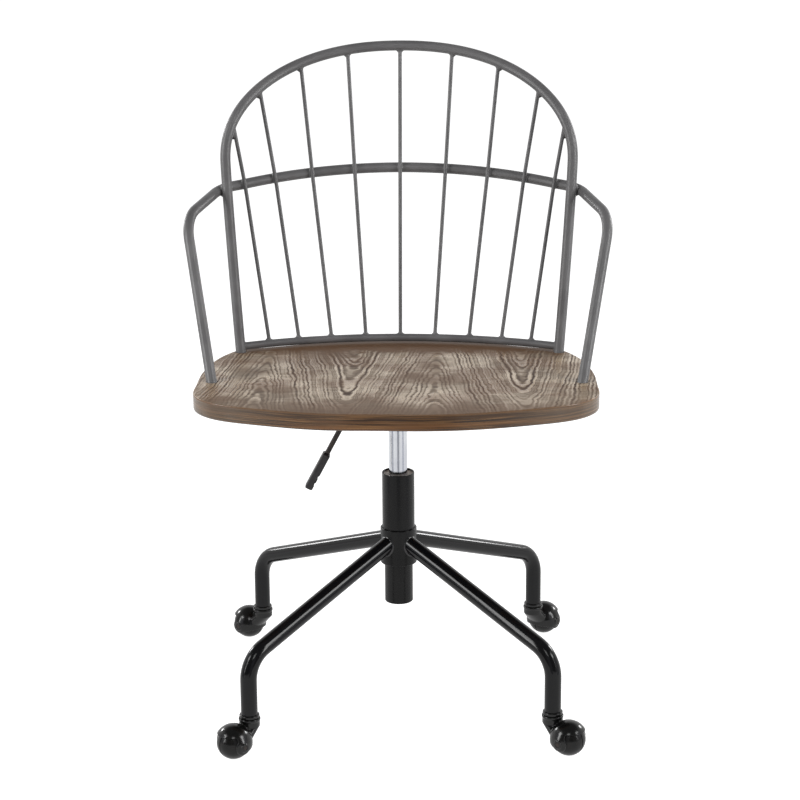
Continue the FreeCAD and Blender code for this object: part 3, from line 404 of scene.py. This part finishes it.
def hoop_outline_x(rise):
    """Half width of the hoop at a rise above the seat, below its shoulder."""
    return hoop_half_width - hoop_spread * (1 - rise / hoop_shoulder_height) ** hoop_upright_power


def hoop_crown_rise(x):
    """Rise of the hoop above the seat at a distance from the middle, above its shoulder."""
    share = (1 - (abs(x) / hoop_half_width) ** hoop_crown_power) ** (1 / hoop_crown_power)
    return hoop_shoulder_height + (hoop_height - hoop_shoulder_height) * share


def lower_rail_point(x):
    """Centre of the lower rail at a distance from the middle."""
    return back_point(x, lower_rail_z)


def hoop_crown_point(x):
    """Centre of the hoop's crown at a distance from the middle."""
    return back_point(x, seat_top + hoop_crown_rise(x))


def rail_places(reach):
    """Distances from the middle at which a rail is drawn, from one end of its reach to the other."""
    return [reach * step / rail_stations for step in range(-rail_stations, rail_stations + 1)]


def hoop_centre_line(stations=60):
    """Centre line of the whole hoop, from one foot in the seat over the crown to the other."""
    right = [back_point(hoop_outline_x(hoop_shoulder_height * step / stations),
                        seat_top + hoop_shoulder_height * step / stations) for step in range(stations)]
    for step in range(stations * 2 + 1):
        angle = math.radians(90) * step / (stations * 2)
        across = max(math.cos(angle), 0) ** (2 / hoop_crown_power)
        rise = (hoop_height - hoop_shoulder_height) * math.sin(angle) ** (2 / hoop_crown_power)
        right.append(back_point(hoop_half_width * across, seat_top + hoop_shoulder_height + rise))
    down = (right[0] - right[1]).normalized()
    right.insert(0, right[0] + down * foot_socket_depth)
    return [mirrored(point) for point in right] + right[-2::-1]


def corner_through(before, apex, after, radius):
    """Corner between two points whose rounding at a radius passes through the apex."""
    corner = apex.copy()
    for _ in range(6):
        come = (corner - before).normalized()
        leave = (after - corner).normalized()
        outwards = come - leave
        if outwards.length < 1e-6:
            return corner
        rise = radius * (1 / math.cos(come.angle(leave) / 2) - 1)
        corner = apex + outwards.normalized() * rise
    return corner


standoff_spindle = frame_tube_radius + spindle_radius - weld_bite
standoff_upright = frame_tube_radius * 2 - weld_bite
upright_x = hoop_outline_x(rail_crossing(hoop_half_width, standoff_upright).z - seat_top)


def rail_point(x):
    """Centre of the arm rail, which stands off further where the uprights are thicker than the spindles."""
    standoff = standoff_spindle + (standoff_upright - standoff_spindle) * (x / upright_x) ** 2
    return rail_crossing(x, standoff)


def tangent(line, x, step=0.5):
    """Direction of a line that is given by its distance from the middle."""
    return (line(x + step) - line(x - step)).normalized()


def arm_rail_centre_line():
    """Centre line of the arm rail with its bends' radii: behind the back, round the uprights and down the arms."""
    rail = [rail_point(x) for x in rail_places(spindle_rail_shares[-1] * hoop_half_width)]
    corner_y = arm_foot.y + arm_corner_setback
    arm_corner = Vector((arm_foot.x + arm_corner_flare, corner_y, arm_plane_height(corner_y)))
    behind_upright = rail_crossing(upright_x, standoff_upright)
    turn = corner_through(rail[-1], behind_upright, arm_corner, arm_turn_radius)
    foot = arm_foot - (arm_corner - arm_foot).normalized() * foot_socket_depth
    arm = [(turn, arm_turn_radius), (arm_corner, arm_bend_radius), (foot, 0.0)]
    left = [(mirrored(point), radius) for point, radius in reversed(arm)]
    return left + [(point, 0.0) for point in rail] + arm


def spindle_line(index):
    """Foot, crossing and top of one spindle, with the arm rail's direction and the way back to it at the crossing."""
    foot = lower_rail_point(spindle_foot_shares[index] * hoop_foot_x)
    top = hoop_crown_point(spindle_top_shares[index] * hoop_half_width)
    x = spindle_rail_shares[index] * hoop_half_width
    along_rail = tangent(rail_point, x)
    backwards = (top - foot).cross(along_rail).normalized()
    return foot, rail_point(x) - backwards * standoff_spindle, top, along_rail, backwards


def bar_tree():
    """Geometry Nodes tree: rounds the corners of centre lines and runs a round bar along each."""
    tree = bpy.data.node_groups.new("round_bar_on_centre_line", "GeometryNodeTree")
    sockets = {}
    for label, kind in (("Centre lines", "NodeSocketGeometry"), ("Bar radius", "NodeSocketFloat"),
                        ("Sides", "NodeSocketInt"), ("Step length", "NodeSocketFloat"),
                        ("Finish", "NodeSocketMaterial")):
        sockets[label] = tree.interface.new_socket(label, in_out="INPUT", socket_type=kind).identifier
    tree.interface.new_socket("Bars", in_out="OUTPUT", socket_type="NodeSocketGeometry")
    given = add(tree, "NodeGroupInput").outputs
    bend = add(tree, "GeometryNodeInputNamedAttribute", {"Name": "bend_radius"}, data_type="FLOAT").outputs[0]
    lines = add(tree, "GeometryNodeMeshToCurve", {0: given["Centre lines"]}).outputs[0]
    rounded = add(tree, "GeometryNodeFilletCurve",
                  {"Curve": lines, "Radius": bend, "Limit Radius": True, "Count": 24}, mode="POLY").outputs[0]
    even = add(tree, "GeometryNodeResampleCurve", {"Curve": rounded, "Length": given["Step length"]},
               mode="LENGTH").outputs[0]
    section = add(tree, "GeometryNodeCurvePrimitiveCircle",
                  {"Resolution": given["Sides"], "Radius": given["Bar radius"]}, mode="RADIUS").outputs[0]
    swept = add(tree, "GeometryNodeCurveToMesh",
                {"Curve": even, "Profile Curve": section, "Fill Caps": True}).outputs[0]
    smooth = add(tree, "GeometryNodeSetShadeSmooth", {"Geometry": swept}).outputs[0]
    plain = add(tree, "GeometryNodeRealizeInstances", {"Geometry": smooth}).outputs[0]
    done = add(tree, "GeometryNodeSetMaterial", {"Geometry": plain, "Material": given["Finish"]}).outputs[0]
    add(tree, "NodeGroupOutput", {0: done})
    return tree, sockets


bars, bar_sockets = bar_tree()


def round_bars(name, lines, radius, finish, body, replaced, sides, step):
    """Piece of round bars along centre lines; a line's point is a place, or a place with the radius of its bend."""
    points = []
    bends = []
    edges = []
    for line in lines:
        for index, entry in enumerate(line):
            point, bend = entry if isinstance(entry, tuple) else (entry, 0.0)
            if index:
                edges.append((len(points) - 1, len(points)))
            points.append(point * MM)
            bends.append(bend * MM)
    mesh = bpy.data.meshes.new(name + "_line")
    mesh.from_pydata(points, edges, [])
    mesh.attributes.new("bend_radius", "FLOAT", "POINT").data.foreach_set("value", bends)
    maker = bpy.data.objects.new(name + "_line", mesh)
    bpy.context.scene.collection.objects.link(maker)
    modifier = maker.modifiers.new("bars", "NODES")
    modifier.node_group = bars
    for label, value in (("Bar radius", radius * MM), ("Sides", sides), ("Step length", step * MM),
                         ("Finish", finish)):
        modifier[bar_sockets[label]] = value
    done = bpy.data.meshes.new_from_object(maker.evaluated_get(bpy.context.evaluated_depsgraph_get()))
    bpy.data.objects.remove(maker)
    return new_piece(name, done, body, replaced)


def arc_between(first, last, share):
    """Direction part of the way round from one unit vector to another."""
    angle = first.angle(last)
    return (first * math.sin((1 - share) * angle) + last * math.sin(share * angle)) / math.sin(angle)


def standing_weld(bar_point, bar_direction, bar_radius, tube_point, tube_direction, tube_radius, throat):
    """Path of a ball that rolls round a bar standing on a tube: its centres, each with the two contact directions."""
    first = bar_direction.orthogonal().normalized()
    second = bar_direction.cross(first)
    path = []
    for step in range(bead_stations):
        angle = math.radians(360) * step / bead_stations
        outwards = first * math.cos(angle) + second * math.sin(angle)
        start = bar_point + outwards * (bar_radius + throat) - tube_point
        level = start - tube_direction * start.dot(tube_direction)
        climb = bar_direction - tube_direction * bar_direction.dot(tube_direction)
        half = level.dot(climb) / climb.dot(climb)
        rest = (level.dot(level) - (tube_radius + throat) ** 2) / climb.dot(climb)
        height = math.sqrt(max(half ** 2 - rest, 0)) - half
        centre = bar_point + outwards * (bar_radius + throat) + bar_direction * height
        along = tube_point + tube_direction * (centre - tube_point).dot(tube_direction)
        path.append((centre, -outwards, (along - centre).normalized()))
    return path


def crossing_weld(contact, apart, bar_direction, bar_radius, tube_direction, tube_radius, throat):
    """The same for a bar that crosses in front of a tube and touches it; apart points from the bar to the tube."""
    first = (bar_direction - apart * bar_direction.dot(apart)).normalized()
    second = apart.cross(first)
    path = []
    for step in range(bead_stations):
        angle = math.radians(360) * step / bead_stations
        outwards = first * math.cos(angle) + second * math.sin(angle)
        bar_share = 1 - outwards.dot(bar_direction) ** 2
        tube_share = 1 - outwards.dot(tube_direction) ** 2
        low, high = 0.0, 2.2 * math.sqrt((tube_radius + throat) * throat) + throat
        for _ in range(30):
            reach = (low + high) / 2
            over_bar = math.sqrt(max((bar_radius + throat) ** 2 - reach ** 2 * bar_share, 0)) - bar_radius
            under_tube = tube_radius - math.sqrt(max((tube_radius + throat) ** 2 - reach ** 2 * tube_share, 0))
            if over_bar > under_tube:
                low = reach
            else:
                high = reach
        centre = contact + outwards * reach + apart * over_bar
        on_bar = contact - apart * bar_radius
        on_bar += bar_direction * (centre - on_bar).dot(bar_direction)
        on_tube = contact + apart * tube_radius
        on_tube += tube_direction * (centre - on_tube).dot(tube_direction)
        path.append((centre, (on_bar - centre).normalized(), (on_tube - centre).normalized()))
    return path


def weld_piece(name, welds, finish, body):
    """Piece of closed concave weld skins; each weld is a path of ball centres with the ball's radius."""
    points = []
    faces = []
    for path, throat in welds:
        base = len(points)
        for centre, to_bar, to_tube in path:
            skin = [centre + arc_between(to_bar, to_tube, row / (bead_rows - 1)) * throat for row in range(bead_rows)]
            skin.insert(0, skin[0] + to_bar * throat * bead_tuck)
            skin.append(skin[-1] + to_tube * throat * bead_tuck)
            points += [point * MM for point in skin]
        tall = bead_rows + 2
        count = len(path)
        for step in range(count):
            here = base + step * tall
            there = base + (step + 1) % count * tall
            for row in range(tall - 1):
                faces.append((here + row, here + row + 1, there + row + 1, there + row))
            faces.append((here + tall - 1, here, there, there + tall - 1))
    mesh = bpy.data.meshes.new(name)
    mesh.from_pydata(points, [], faces)
    shape = bmesh.new()
    shape.from_mesh(mesh)
    bmesh.ops.recalc_face_normals(shape, faces=shape.faces)
    for face in shape.faces:
        face.smooth = True
    shape.to_mesh(mesh)
    shape.free()
    mesh.materials.append(finish)
    return new_piece(name, mesh, body)


# Tubes of the back
round_bars("back_hoop_tube", [hoop_centre_line()], frame_tube_radius, frame_coat, "seat",
           ["back_hoop"], sides=48, step=4.0)
round_bars("arm_rail_tube", [arm_rail_centre_line()], frame_tube_radius, frame_coat, "seat",
           ["arm_rail"], sides=48, step=3.5)
rail_end = hoop_outline_x(lower_rail_lift)
lower_rail = [lower_rail_point(x) for x in rail_places(rail_end)]
round_bars("lower_rail_bar", [lower_rail], lower_rail_radius, frame_coat, "seat",
           ["lower_rail"], sides=40, step=5.0)

# Radii of the welded pieces, a little less than real, so that the beads' skins start inside them
spindle_core = spindle_radius - bead_sink
rail_core = lower_rail_radius - bead_sink
tube_core = frame_tube_radius - bead_sink

# Nine spindles, each with a weld at its foot, at the arm rail and at the hoop
spindles = [spindle_line(index) for index in range(len(spindle_foot_shares))]
spindle_lines = []
back_welds = []
for foot, crossing, top, along_rail, backwards in spindles:
    bend = corner_through(foot, crossing, top, spindle_bend_radius)
    spindle_lines.append([foot, (bend, spindle_bend_radius), top])
    back_welds.append((standing_weld(foot, (bend - foot).normalized(), spindle_core, foot,
                                     tangent(lower_rail_point, foot.x), rail_core, spindle_foot_bead),
                       spindle_foot_bead))
    back_welds.append((standing_weld(top, (bend - top).normalized(), spindle_core, top,
                                     tangent(hoop_crown_point, top.x), tube_core, spindle_top_bead),
                       spindle_top_bead))
    back_welds.append((crossing_weld(crossing + backwards * spindle_radius, backwards, (top - foot).normalized(),
                                     spindle_core, along_rail, tube_core, spindle_cross_bead), spindle_cross_bead))
round_bars("spindle_bars", spindle_lines, spindle_radius, frame_coat, "seat",
           ["spindle_" + str(index + 1) for index in range(len(spindles))], sides=28, step=8.0)

# Welds of the lower rail to the uprights, and of the uprights to the arm rail behind them
for side in (-1, 1):
    end = lower_rail_point(side * rail_end)
    inwards = tangent(lower_rail_point, end.x - side) * -side
    up_hoop = (back_point(side * hoop_outline_x(lower_rail_lift + upright_chord),
                          lower_rail_z + upright_chord) - end).normalized()
    back_welds.append((standing_weld(end, inwards, rail_core, end, up_hoop, tube_core, rail_end_bead),
                       rail_end_bead))
    behind = rail_crossing(side * upright_x, standoff_upright)
    apart = back_normal(behind.x, behind.z)
    upright = behind - apart * standoff_upright
    rise = upright.z - seat_top
    up_hoop = (back_point(side * hoop_outline_x(rise + upright_chord), upright.z + upright_chord)
               - back_point(side * hoop_outline_x(rise - upright_chord), upright.z - upright_chord)).normalized()
    back_welds.append((crossing_weld(upright + apart * frame_tube_radius, apart, up_hoop, tube_core,
                                     tangent(rail_point, behind.x), tube_core, upright_cross_bead),
                       upright_cross_bead))
weld_piece("back_welds", back_welds, frame_coat, "seat")

# Legs of the base, welded to the hub
leg_lines = []
leg_welds = []
swivel_places = {joint["name"]: joint["pos_m"] for joint in frame["joints"] if "caster_swivel" in joint["name"]}
for corner_name in caster_corners:
    centre = Vector((0, 0, leg_axis_height))
    corner = Vector(swivel_places["caster_swivel_" + corner_name]) / MM
    corner.z = leg_corner_height
    outwards = (corner - centre).normalized()
    start = centre + outwards * (hub_radius * leg_root_share)
    leg_lines.append([start, (corner, leg_bend_radius), Vector((corner.x, corner.y, caster_height))])
    leg_welds.append((standing_weld(centre, outwards, leg_tube_radius - bead_sink, centre, UP, hub_radius - bead_sink,
                                    leg_bead), leg_bead))
round_bars("leg_tubes", leg_lines, leg_tube_radius, leg_enamel, "base",
           ["leg_" + corner_name for corner_name in caster_corners], sides=56, step=4.0)
weld_piece("leg_welds", leg_welds, weld_enamel, "base")


def melted_copy(node_name, piece_name, body, finish, grid_mm, passes):
    """Copy of a moulded part whose meeting edges are run together, as they are in its mould."""
    mesh = nodes[node_name].data.copy()
    shape = bmesh.new()
    shape.from_mesh(mesh)
    bmesh.ops.remove_doubles(shape, verts=shape.verts, dist=1e-6)
    shape.to_mesh(mesh)
    shape.free()
    maker = bpy.data.objects.new(piece_name + "_rough", mesh)
    bpy.context.scene.collection.objects.link(maker)
    cast = maker.modifiers.new("cast", "REMESH")
    cast.mode = "VOXEL"
    cast.voxel_size = grid_mm * MM
    cast.use_smooth_shade = True
    melt = maker.modifiers.new("melt", "SMOOTH")
    melt.factor = 0.5
    melt.iterations = passes
    done = bpy.data.meshes.new_from_object(maker.evaluated_get(bpy.context.evaluated_depsgraph_get()))
    bpy.data.objects.remove(maker)
    done.materials.clear()
    done.materials.append(finish)
    return new_piece(piece_name, done, body, [node_name])


for corner_name in caster_corners:
    melted_copy("caster_hood_" + corner_name, "hood_shell_" + corner_name, "caster_" + corner_name,
                hood_nylon, hood_grid, hood_melt_passes)


def lamp(name, place, aim, size, watts):
    """Soft box that points at a place; its size is a width and a height."""
    light = bpy.data.lights.new(name, "AREA")
    light.shape = "RECTANGLE"
    light.size, light.size_y = size
    light.energy = watts
    made = bpy.data.objects.new(name, light)
    made.location = place
    made.rotation_euler = (Vector(aim) - Vector(place)).to_track_quat("-Z", "Y").to_euler()
    bpy.context.scene.collection.objects.link(made)


def card(name, azimuth_degrees, width_degrees, tone, reach=1.0, height=0.6):
    """Glowing card that stands beside the chair; only reflections show it, as a soft band on the plated tube."""
    corners = []
    for z in (0.0, height):
        for side in (-1, 1):
            angle = math.radians(azimuth_degrees + side * width_degrees / 2)
            corners.append((reach * math.sin(angle), -reach * math.cos(angle), z))
    mesh = bpy.data.meshes.new(name)
    mesh.from_pydata(corners, [], [(0, 1, 3, 2)])
    made = bpy.data.objects.new(name, mesh)
    bpy.context.scene.collection.objects.link(made)
    finish = bpy.data.materials.new("grey_studio_card")
    finish.use_nodes = True
    tree = finish.node_tree
    glow = add(tree, "ShaderNodeEmission", {"Color": linear("#f4f6ff"), "Strength": tone})
    tree.links.new(glow.outputs[0], tree.nodes["Material Output"].inputs["Surface"])
    tree.nodes.remove(tree.nodes["Principled BSDF"])
    mesh.materials.append(finish)
    made.visible_camera = False
    made.visible_diffuse = False
    made.visible_shadow = False


def stage():
    """Pale floor, white backdrop, soft lamps in front and behind, and cards that only reflections show."""
    world = bpy.data.worlds.new("studio")
    bpy.context.scene.world = world
    world.use_nodes = True
    tree = world.node_tree
    seen = add(tree, "ShaderNodeLightPath").outputs
    direction = add(tree, "ShaderNodeTexCoord").outputs["Generated"]
    _, depth, height = add(tree, "ShaderNodeSeparateXYZ", {0: direction}).outputs

    # Reflections see the white backdrop behind the chair, and the dim studio in front of it and overhead
    behind = add(tree, "ShaderNodeMapRange", {"Value": depth, "From Min": -0.35, "From Max": 0.3},
                 interpolation_type="SMOOTHSTEP").outputs[0]
    under_ceiling = add(tree, "ShaderNodeMapRange", {"Value": height, "From Min": 0.85, "From Max": 0.5},
                        interpolation_type="SMOOTHSTEP").outputs[0]
    backdrop = add(tree, "ShaderNodeMath", {0: behind, 1: under_ceiling}, operation="MULTIPLY").outputs[0]
    mirrored_room = add(tree, "ShaderNodeMapRange", {"Value": backdrop, "To Min": 0.16, "To Max": 1.0}).outputs[0]
    light = add(tree, "ShaderNodeMix", {0: seen["Is Glossy Ray"], 2: 0.3, 3: mirrored_room},
                data_type="FLOAT").outputs[0]
    shown = add(tree, "ShaderNodeMath", {0: seen["Is Camera Ray"], 1: seen["Is Transmission Ray"]},
                operation="MAXIMUM").outputs[0]
    strength = add(tree, "ShaderNodeMix", {0: shown, 2: light, 3: 1.0}, data_type="FLOAT").outputs[0]
    back = tree.nodes["Background"]
    back.inputs["Color"].default_value = (1, 1, 1, 1)
    tree.links.new(strength, back.inputs["Strength"])

    # The floor glows for the camera, so that only the chair's shadow is left of it, and less in reflections
    half = 20.0
    mesh = bpy.data.meshes.new("floor")
    mesh.from_pydata([(-half, -half, 0), (half, -half, 0), (half, half, 0), (-half, half, 0)], [], [(0, 1, 2, 3)])
    floor = bpy.data.objects.new("floor", mesh)
    bpy.context.scene.collection.objects.link(floor)
    made = bpy.data.materials.new("pale_paper_sweep")
    made.use_nodes = True
    tree = made.node_tree
    seen = add(tree, "ShaderNodeLightPath").outputs
    shown = add(tree, "ShaderNodeMath", {0: seen["Is Camera Ray"], 1: seen["Is Transmission Ray"]},
                operation="MAXIMUM").outputs[0]
    mirrored_glow = add(tree, "ShaderNodeMath", {0: seen["Is Glossy Ray"], 1: 0.55}, operation="MULTIPLY").outputs[0]
    glow_strength = add(tree, "ShaderNodeMath", {0: shown, 1: 0.93, 2: mirrored_glow},
                        operation="MULTIPLY_ADD").outputs[0]
    tree.nodes.remove(tree.nodes["Principled BSDF"])
    paper = add(tree, "ShaderNodeBsdfDiffuse", {"Color": (0.5, 0.5, 0.5, 1)})
    glow = add(tree, "ShaderNodeEmission", {"Strength": glow_strength})
    total = add(tree, "ShaderNodeAddShader", {0: paper.outputs[0], 1: glow.outputs[0]})
    tree.links.new(total.outputs[0], tree.nodes["Material Output"].inputs["Surface"])
    mesh.materials.append(made)

    lamp("lamp_front", (0.0, -3.0, 2.8), (0, 0, 0.5), (1.0, 1.0), 14)
    for name, side in (("left", -1), ("right", 1)):
        lamp("lamp_side_" + name, (side * 2.8, -1.2, 1.5), (0, 0, 0.55), (1.0, 2.4), 72)
        lamp("lamp_rim_" + name, (side * 2.3, 1.8, 1.4), (0, 0, 0.3), (0.5, 0.5), 18)

    card("card_front", 4, 24, 0.42)
    card("card_left", -70, 24, 0.55)
    card("card_right", 68, 24, 0.7)


stage()

# The camera stands in front of the chair, a hand's width to the right, and looks down on the seat
camera_place = (0.0937, -3.4939, 1.4845)
camera_turn, camera_dip, camera_roll = (math.radians(degrees) for degrees in (1.527, 16.066, -0.411))
camera = bpy.data.objects.new("camera", bpy.data.cameras.new("camera"))
camera.data.sensor_width = 36.0
camera.data.lens = 107.5
camera.data.shift_x = 0.0025
camera.data.clip_end = 100.0
camera.location = camera_place
aimed = Matrix.Rotation(camera_turn, 3, "Z") @ Matrix.Rotation(math.radians(90) - camera_dip, 3, "X")
camera.rotation_euler = (aimed @ Matrix.Rotation(camera_roll, 3, "Z")).to_euler()
bpy.context.scene.collection.objects.link(camera)
bpy.context.scene.camera = camera
bpy.context.scene.view_settings.view_transform = "Standard"
